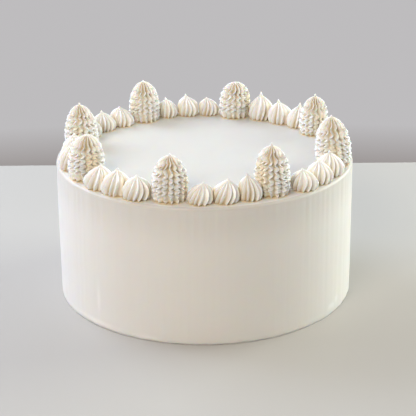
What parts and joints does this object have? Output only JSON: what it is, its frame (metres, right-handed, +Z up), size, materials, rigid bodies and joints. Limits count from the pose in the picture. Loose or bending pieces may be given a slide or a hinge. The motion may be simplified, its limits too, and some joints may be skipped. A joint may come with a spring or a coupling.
{
  "type": "round layer cake",
  "caption": "Tall round cake in a smooth cream coat, crowned with a ring of piped ruffled peaks and small ribbed dollops along its top edge.",
  "frame": {"origin": "middle of the cake's flat underside", "axes": "+Z up, the upright axis of the round body; -Y is the side that the picture shows"},
  "size_m": [0.275, 0.275, 0.1755],
  "materials": {
    "frosting_coat": "smooth satin buttercream, off-white, with faint scraper marks",
    "frosting_piping": "soft satin buttercream, warm ivory, darker and warmer in its grooves"
  },
  "bodies": {
    "root": {"cake_body": "frosting_coat", "ruffle_1": "frosting_piping", "ruffle_2": "frosting_piping", "ruffle_3": "frosting_piping", "ruffle_4": "frosting_piping", "ruffle_5": "frosting_piping", "ruffle_6": "frosting_piping", "ruffle_7": "frosting_piping", "ruffle_8": "frosting_piping", "dollop_1_1": "frosting_piping", "dollop_1_2": "frosting_piping", "dollop_1_3": "frosting_piping", "dollop_2_1": "frosting_piping", "dollop_2_2": "frosting_piping", "dollop_2_3": "frosting_piping", "dollop_3_1": "frosting_piping", "dollop_3_2": "frosting_piping", "dollop_3_3": "frosting_piping", "dollop_4_1": "frosting_piping", "dollop_4_2": "frosting_piping", "dollop_4_3": "frosting_piping", "dollop_5_1": "frosting_piping", "dollop_5_2": "frosting_piping", "dollop_5_3": "frosting_piping", "dollop_6_1": "frosting_piping", "dollop_6_2": "frosting_piping", "dollop_6_3": "frosting_piping", "dollop_7_1": "frosting_piping", "dollop_7_2": "frosting_piping", "dollop_7_3": "frosting_piping", "dollop_8_1": "frosting_piping", "dollop_8_2": "frosting_piping", "dollop_8_3": "frosting_piping"}
  },
  "joints": []
}
